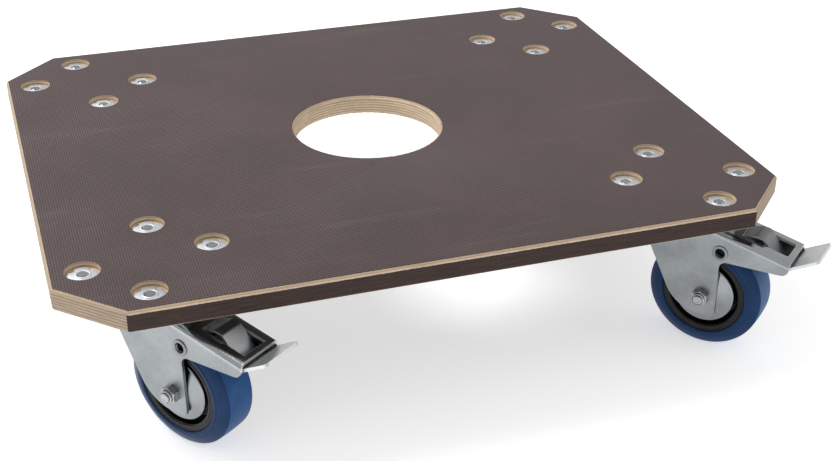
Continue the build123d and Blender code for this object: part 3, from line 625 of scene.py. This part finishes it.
def guards(caster):
    """Two dished discs with turned-in rims.

    From hub to rim each falls by the dish, partly in proportion to the way out and partly along half
    a cosine wave.
    """
    centre, _, axis = caster_places(caster)
    share = np.linspace(0.0, 1.0, 22)
    radius = GUARD_HUB_RADIUS + share * (GUARD_RADIUS - GUARD_LIP_ROUNDING - GUARD_HUB_RADIUS)
    wave = (1 - np.cos(np.pi * share)) / 2
    fall = GUARD_DISH * (GUARD_STRAIGHT_SHARE * share + (1 - GUARD_STRAIGHT_SHARE) * wave)
    outer = np.stack([radius, FORK_INNER_HALF - fall], axis=1)
    edge = FORK_INNER_HALF - GUARD_DISH
    lip = arc((GUARD_RADIUS - GUARD_LIP_ROUNDING, edge - GUARD_LIP_ROUNDING), GUARD_LIP_ROUNDING,
              90.0, 0.0, 7)
    under = outer[::-1] - (GUARD_DRAFT, GUARD_THICKNESS)
    profile = np.concatenate([
        [(AXLE_RADIUS, FORK_INNER_HALF)], outer, lip[1:],
        [(GUARD_RADIUS, edge - GUARD_LIP_DEPTH)],
        [(GUARD_RADIUS - GUARD_LIP_THICKNESS, edge - GUARD_LIP_DEPTH)],
        under, [(AXLE_RADIUS, FORK_INNER_HALF - GUARD_THICKNESS)],
    ])
    discs = [surface(f"{caster}_guard_{side}",
                     round_axis(profile[:, 0], profile[:, 1] * way, centre, axis, ROUND_GUARD), True)
             for side, way in (("nut_side", -1), ("head_side", 1))]
    return [join_up(disc, 30.0) for disc in discs]


def hex_rows(across_flats, heights, count):
    """Radii of a hexagon with coned ends.

    The flat side's radius is half the width over cos(angle from the flat's middle). Near each end the
    radius is held to a cone that is a little under the corners' radius.
    """
    angle = np.linspace(0.0, 2 * np.pi, count, endpoint=False)[:, None]
    from_flat = (angle + np.pi / 6) % (np.pi / 3) - np.pi / 6
    hexagon = across_flats / 2 / np.cos(from_flat)
    low, high = heights.min(), heights.max()
    from_end = np.minimum(heights - low, high - heights)[None, :]
    cone = across_flats / 2 * HEX_FACE_SHARE + from_end / math.tan(math.radians(HEX_BEVEL))
    return np.minimum(hexagon, cone)


def bolt_head(across_flats, steps, height, count):
    """Radii of a hexagon with its outer end coned, at these depths below that end.

    A depth far past the head's own is taken along while the cones are cut, so that its inner end
    keeps its corners.
    """
    return hex_rows(across_flats, np.append(steps, 2 * height), count)[:, :-1]


def for_all(profile, count):
    """A profile's radii, repeated as one row for each angle."""
    return np.broadcast_to(profile[:, 0], (count, len(profile)))


def axle_nut(caster):
    """Lock nut: a coned hexagon, a round collar, and a dark groove between collar and bolt."""
    centre, _, axis = caster_places(caster)
    base = FORK_OUTER_HALF
    steps = np.concatenate([np.linspace(0.0, HEX_CONE_DEPTH, 9),
                            np.linspace(HEX_CONE_END, NUT_HEX_HEIGHT - HEX_CONE_END, 3),
                            np.linspace(NUT_HEX_HEIGHT - HEX_CONE_DEPTH, NUT_HEX_HEIGHT, 9)])
    body = hex_rows(NUT_ACROSS_FLATS, steps, ROUND_HEX)
    top = NUT_HEX_HEIGHT + NUT_COLLAR_HEIGHT
    collar = np.concatenate([
        arc((NUT_COLLAR_RADIUS + NUT_COLLAR_FOOT, NUT_HEX_HEIGHT + NUT_COLLAR_FOOT), NUT_COLLAR_FOOT,
            270.0, 180.0, 4),
        arc((NUT_COLLAR_RADIUS - NUT_COLLAR_ROUNDING, top - NUT_COLLAR_ROUNDING), NUT_COLLAR_ROUNDING,
            0.0, 90.0, 8),
        [(NUT_GROOVE_RADIUS, top - 0.15), (NUT_GROOVE_RADIUS - 0.2, top - NUT_GROOVE_DEPTH)],
        [(AXLE_RADIUS, top - NUT_GROOVE_DEPTH), (AXLE_RADIUS, 0.0)],
    ])
    radii = np.concatenate([body, for_all(collar, ROUND_HEX)], axis=1)
    heights = np.concatenate([steps, collar[:, 1]])
    points = round_axis(radii, -(base + heights), centre, axis, ROUND_HEX)
    return join_up(surface(f"{caster}_lock_nut", points, True), 24.0)


def axle_bolt(caster):
    """Axle bolt: coned hex head, plain shank, and a chamfered end with a shallow cup in it."""
    centre, _, axis = caster_places(caster)
    steps = np.concatenate([np.linspace(0.0, HEX_CONE_DEPTH, 9),
                            np.linspace(HEX_CONE_END, BOLT_HEAD_HEIGHT, 5)])
    head = bolt_head(NUT_ACROSS_FLATS, steps, BOLT_HEAD_HEIGHT, ROUND_HEX)
    top = FORK_OUTER_HALF + BOLT_HEAD_HEIGHT
    dish = top - HEX_DISH_DEPTH
    crown = np.array([(0.0, dish), (HEX_DISH_RADIUS, dish), (HEX_CROWN_RADIUS, top)])
    shank = np.concatenate([
        [(AXLE_RADIUS, FORK_OUTER_HALF), (AXLE_RADIUS, -BOLT_END + BOLT_END_ROUNDING)],
        arc((AXLE_RADIUS - BOLT_END_ROUNDING, -BOLT_END + BOLT_END_ROUNDING), BOLT_END_ROUNDING,
            0.0, -90.0, 5),
        [(BOLT_CUP_RADIUS, -BOLT_END), (BOLT_CUP_RADIUS - 0.4, -BOLT_END + BOLT_CUP_DEPTH - 0.05)],
        [(0.0, -BOLT_END + BOLT_CUP_DEPTH)],
    ])
    radii = np.concatenate([for_all(crown, ROUND_HEX), head, for_all(shank, ROUND_HEX)], axis=1)
    heights = np.concatenate([crown[:, 1], top - steps, shank[:, 1]])
    return join_up(surface(f"{caster}_axle", round_axis(radii, heights, centre, axis, ROUND_HEX)), 24.0)


def rivets(caster):
    """Two hollow rivets: a rolled flange outside the fork and a tube through it."""
    _, centre, axis = caster_places(caster)
    base, height = FORK_OUTER_HALF, RIVET_FLANGE_HEIGHT
    profile = np.concatenate([
        [(RIVET_FLANGE_RADIUS, base)],
        arc((RIVET_FLANGE_RADIUS - RIVET_FLANGE_EDGE, base + RIVET_FLANGE_EDGE), RIVET_FLANGE_EDGE,
            0.0, 60.0, 4),
        arc((RIVET_HOLE_RADIUS + RIVET_ROLL_OUT, base + height - RIVET_ROLL_RADIUS), RIVET_ROLL_RADIUS,
            75.0, 180.0, 7),
        [(RIVET_HOLE_RADIUS, base - RIVET_MOUTH_DEPTH), (RIVET_HOLE_RADIUS, CHEEK_INNER)],
        [(RIVET_RADIUS, CHEEK_INNER), (RIVET_RADIUS, base)],
    ])
    made = [surface(f"{caster}_rivet_{side}",
                    round_axis(profile[:, 0], profile[:, 1] * way, centre, axis, ROUND_RIVET), True)
            for side, way in (("nut_side", -1), ("head_side", 1))]
    return [join_up(piece, 30.0) for piece in made]


# ================================================================ the board's fixings
def bolt_places():
    """Centre of every caster bolt on the board, and the way its caster's plate points."""
    places = []
    for caster in CASTERS:
        x, y, _ = JOINTS[f"{caster}_swivel"]["pos_m"]
        heading = math.atan2(math.copysign(1.0, y), math.copysign(1.0, x))
        for out in (-BOLT_SPACING_OUT / 2 * MM, BOLT_SPACING_OUT / 2 * MM):
            for along in (-BOLT_SPACING_ALONG / 2 * MM, BOLT_SPACING_ALONG / 2 * MM):
                places.append((x + out * math.cos(heading) - along * math.sin(heading),
                               y + out * math.sin(heading) + along * math.cos(heading), heading))
    return places


def turned_flat(points, heading):
    """Points turned by heading about the vertical through the origin."""
    cos, sin = math.cos(heading), math.sin(heading)
    return points @ np.array([(cos, sin, 0.0), (-sin, cos, 0.0), (0.0, 0.0, 1.0)])


def joined(name, parts):
    """One object from several, which are used up."""
    bpy.ops.object.select_all(action="DESELECT")
    for part in parts:
        part.select_set(True)
    bpy.context.view_layer.objects.active = parts[0]
    bpy.ops.object.join()
    parts[0].name = name
    return parts[0]


def tee_nuts():
    """Sixteen tee nuts: a flange whose rim is drawn in at four notches, a raised ring and a barrel.

    The rim's radius is the flange's radius less the notch depth times a smooth pulse, which is 1 over
    each quarter turn's notch and falls to 0 over a few degrees on each side of it.
    """
    count = ROUND_TEE_NUT
    angle = np.linspace(0.0, 2 * np.pi, count, endpoint=False)
    from_notch = np.abs((angle + np.pi / 4) % (np.pi / 2) - np.pi / 4)
    half_notch = math.atan(TEE_NOTCH_WIDTH / 2 / (TEE_FLANGE_RADIUS - TEE_NOTCH_DEPTH / 2))
    fade = math.radians(TEE_NOTCH_FADE)
    pulse = np.clip((half_notch + fade - from_notch) / fade, 0.0, 1.0)
    rim_radius = (TEE_FLANGE_RADIUS - TEE_NOTCH_DEPTH * pulse * pulse * (3 - 2 * pulse))[:, None]
    inner = np.array([
        (BOLT_RADIUS + 0.05, -TEE_BARREL_LENGTH), (BOLT_RADIUS + 0.05, -0.5),
        (BOLT_RADIUS + 0.7, TEE_RING_HEIGHT - 0.1), (BOLT_RADIUS + 0.95, TEE_RING_HEIGHT),
        (TEE_RING_RADIUS - 0.5, TEE_RING_HEIGHT), (TEE_RING_RADIUS - 0.15, TEE_RING_HEIGHT - 0.15),
        (TEE_RING_RADIUS, TEE_RING_HEIGHT - 0.4), (TEE_RING_RADIUS + 0.25, 0.06),
        (TEE_RING_RADIUS + 0.7, 0.0),
    ])
    rim = np.array([(-0.45, 0.0), (-0.13, -0.13), (0.0, -0.45), (0.0, 0.3 - TEE_FLANGE_THICKNESS),
                    (-0.3, -TEE_FLANGE_THICKNESS)])
    foot = np.array([(TEE_BARREL_RADIUS, -TEE_FLANGE_THICKNESS), (TEE_BARREL_RADIUS, -TEE_BARREL_LENGTH)])
    radii = np.concatenate([for_all(inner, count), rim_radius + rim[:, 0], for_all(foot, count)], axis=1)
    heights = np.concatenate([inner[:, 1], rim[:, 1], foot[:, 1]]) + TEE_TOP
    shape = round_axis(radii, heights, (0.0, 0.0, 0.0), (0.0, 0.0, 1.0), count)
    nuts = [join_up(surface(f"tee_nut_{index}", turned_flat(shape, heading) + (x, y, 0.0), True), 24.0)
            for index, (x, y, heading) in enumerate(bolt_places())]
    return joined("tee_nut_set", nuts)


def caster_bolts():
    """Sixteen flanged hex bolts. The shank's end carries a thread.

    Its radius is the bolt's less a triangle wave of the height over the pitch, less the share of a
    turn, so that the crest climbs one pitch each time round.
    """
    count = ROUND_CASTER_BOLT
    angle = np.linspace(0.0, 2 * np.pi, count, endpoint=False)[:, None]
    top = TEE_TOP + BOLT_END_PROUD
    thread = np.linspace(top - THREAD_RUN, top - 0.5, 28)
    turn = (thread / BOLT_PITCH - angle / (2 * np.pi)) % 1.0
    cut = np.minimum(BOLT_THREAD_DEPTH, (thread[-1] - thread + 0.1) * 4.0)
    thread_radius = BOLT_RADIUS - cut * np.abs(2 * turn - 1.0)
    end = np.array([(BOLT_RADIUS - 0.55, top - 0.05), (BOLT_RADIUS - 0.8, top), (0.0, top)])
    base = PLATE_UNDERSIDE
    steps = np.linspace(0.0, HEX_CONE_DEPTH, 7)
    head_steps = np.append(steps, CASTER_BOLT_HEAD_HEIGHT - BOLT_FLANGE_HEIGHT)
    head = bolt_head(BOLT_HEAD_ACROSS_FLATS, head_steps, CASTER_BOLT_HEAD_HEIGHT, count)
    neck = np.array([(BOLT_FLANGE_RADIUS - 0.9, base - BOLT_FLANGE_HEIGHT), (BOLT_FLANGE_RADIUS, base - 0.6),
                     (BOLT_FLANGE_RADIUS, base), (BOLT_RADIUS, base), (BOLT_RADIUS, thread[0] - 0.5)])
    radii = np.concatenate([np.zeros((count, 1)), head, for_all(neck, count), thread_radius,
                            for_all(end, count)], axis=1)
    heights = np.concatenate([[base - CASTER_BOLT_HEAD_HEIGHT], base - CASTER_BOLT_HEAD_HEIGHT + head_steps,
                              neck[:, 1], thread, end[:, 1]])
    shape = round_axis(radii, heights, (0.0, 0.0, 0.0), (0.0, 0.0, 1.0), count)
    bolts = [join_up(surface(f"bolt_{index}", turned_flat(shape, heading) + (x, y, 0.0)), 30.0)
             for index, (x, y, heading) in enumerate(bolt_places())]
    return joined("caster_bolt_set", bolts)


# ================================================================ putting it together
def finish_piece(made, material, slot, body, *stands_for):
    """Gives a new piece its finish and body, and hides the nodes that it stands for."""
    made.data.materials.append(material)
    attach(made, body)
    if stands_for:
        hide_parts(*stands_for)


def smooth_node(node):
    """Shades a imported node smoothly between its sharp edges, with its own points left alone."""
    node.data.shade_smooth()
    weld = node.modifiers.new("weld", "WELD")
    weld.merge_threshold = SAME_POINT
    split = node.modifiers.new("sharp", "EDGE_SPLIT")
    split.split_angle = math.radians(NODE_SHARP_ANGLE)


FINISHES = {
    "film_faced_ply": film_faced_ply(),
    "zinc_fastener": zinc("zinc_fastener", (0.46, 0.475, 0.47), 0.24, (0.18, 0.30)),
    "zinc_sheet": zinc("zinc_sheet", (0.50, 0.53, 0.55), 0.16, (0.30, 0.42)),
    "zinc_tee_nut": zinc("zinc_tee_nut", (0.80, 0.83, 0.87), 0.12, (0.40, 0.55)),
    # painted shade: the guards' zinc is darker, standing in for the dark reflection they show
    "zinc_guard": zinc("zinc_guard", (0.31, 0.33, 0.345), 0.22, (0.10, 0.20)),
    "zinc_rivet": zinc("zinc_rivet", (0.27, 0.28, 0.29), 0.20, (0.20, 0.32)),
    "bearing_steel": zinc("bearing_steel", (0.45, 0.45, 0.46), 0.12, (0.15, 0.28)),
    "black_nylon": black_nylon(),
}
for caster in CASTERS:
    FINISHES[f"{caster}_fork"] = fork_zinc(caster)
    FINISHES[f"{caster}_tyre"] = blue_rubber(caster)
    FINISHES[f"{caster}_brake_pedal"] = pedal_zinc(caster)
NODE_FINISH = {
    "deck_board": "film_faced_ply", "top_plate": "zinc_sheet", "kingpin": "zinc_fastener",
    "lower_race": "zinc_sheet", "swivel_balls": "bearing_steel", "axle_sleeve": "bearing_steel",
    "roller_bearing": "bearing_steel",
}


def dress_nodes():
    """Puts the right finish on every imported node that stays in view."""
    for name, node in frame["nodes"].items():
        kind = name
        for caster in CASTERS:
            kind = kind.removeprefix(caster + "_")
        finish = NODE_FINISH.get(kind, name)
        if finish in FINISHES:
            node.data.materials.clear()
            node.data.materials.append(FINISHES[finish])
            smooth_node(node)


def make_caster(caster):
    swivel, wheel = f"{caster}_swivel", f"{caster}_wheel"
    finish_piece(tyre(caster), FINISHES[f"{caster}_tyre"], "blue_rubber", wheel, f"{caster}_tyre")
    finish_piece(rim(caster), FINISHES["black_nylon"], "black_nylon", wheel, f"{caster}_wheel_rim")
    for disc in guards(caster):
        finish_piece(disc, FINISHES["zinc_guard"], "zinc_guard", swivel, f"{caster}_thread_guards")
    for rivet in rivets(caster):
        finish_piece(rivet, FINISHES["zinc_rivet"], "zinc_fastener", swivel, f"{caster}_brake_rivets")
    for part, node in ((axle_nut(caster), "axle_nut"), (axle_bolt(caster), "axle_bolt")):
        finish_piece(part, FINISHES["zinc_fastener"], "zinc_fastener", swivel, f"{caster}_{node}")


# ================================================================ studio
FLOOR_HALF_WIDTH = 6.0
CAMERA_PLACE = Vector((-0.3295, -1.0966, 0.5235))
CAMERA_AIM = Vector((-0.01003, -0.19539, 0.0))
CAMERA_TILT = 0.78
CAMERA_LENS = 59.67
CAMERA_SHIFT = (-0.00957, -0.00543)


def floor():
    """Plain pale floor with a faint glow of its own, as a light table has."""
    half = FLOOR_HALF_WIDTH
    corners = [(-half, -half, FLOOR_LEVEL), (half, -half, FLOOR_LEVEL),
               (half, half, FLOOR_LEVEL), (-half, half, FLOOR_LEVEL)]
    mesh = bpy.data.meshes.new("studio_floor")
    mesh.from_pydata(corners, [], [(0, 1, 2, 3)])
    made = bpy.data.objects.new("studio_floor", mesh)
    bpy.context.scene.collection.objects.link(made)
    material, _, _ = start_material(
        "floor_white", Base_Color=colour(0.82, 0.82, 0.82), Roughness=0.9, Specular_IOR_Level=0.1,
        Emission_Color=colour(1.0, 1.0, 1.0), Emission_Strength=0.54)
    made.data.materials.append(material)


def softbox(name, place, aim, size, power):
    """A white area light at a place, facing the point it is aimed at."""
    lamp = bpy.data.lights.new(name, "AREA")
    lamp.shape = "RECTANGLE"
    lamp.size, lamp.size_y = size
    lamp.energy = power
    made = bpy.data.objects.new(name, lamp)
    bpy.context.scene.collection.objects.link(made)
    made.location = place
    made.rotation_euler = (Vector(aim) - Vector(place)).to_track_quat("-Z", "Y").to_euler()


def lighting():
    """Even white sky, a large softbox high behind on the left, a weak one in front on the right."""
    world = bpy.data.worlds.new("studio_sky")
    world.use_nodes = True
    world.node_tree.nodes["Background"].inputs["Color"].default_value = colour(1.0, 1.0, 1.0)
    world.node_tree.nodes["Background"].inputs["Strength"].default_value = 0.58
    bpy.context.scene.world = world
    softbox("softbox_back_left", (-1.3, 0.7, 1.9), (0, 0, 0), (1.2, 1.0), 44)
    softbox("softbox_right", (1.7, -0.9, 0.9), (0, 0, -0.05), (1.0, 0.8), 4)


def camera():
    """Camera in front, to the left of the middle, looking down at the board."""
    tilt = Matrix.Rotation(math.radians(CAMERA_TILT), 3, "Z")
    turn = (CAMERA_AIM - CAMERA_PLACE).to_track_quat("-Z", "Y").to_matrix() @ tilt
    made = bpy.data.objects.new("camera", bpy.data.cameras.new("camera"))
    bpy.context.scene.collection.objects.link(made)
    made.matrix_world = Matrix.Translation(CAMERA_PLACE) @ turn.to_4x4()
    made.data.sensor_width = 36.0
    made.data.lens = CAMERA_LENS
    made.data.shift_x, made.data.shift_y = CAMERA_SHIFT
    made.data.clip_start, made.data.clip_end = 0.01, 50.0
    bpy.context.scene.camera = made


bpy.context.scene.view_settings.view_transform = "Standard"
dress_nodes()
finish_piece(tee_nuts(), FINISHES["zinc_tee_nut"], "zinc_fastener", "deck", "tee_nuts")
finish_piece(caster_bolts(), FINISHES["zinc_fastener"], "zinc_fastener", "deck", "caster_bolts")
for caster_name in CASTERS:
    make_caster(caster_name)
floor()
lighting()
camera()
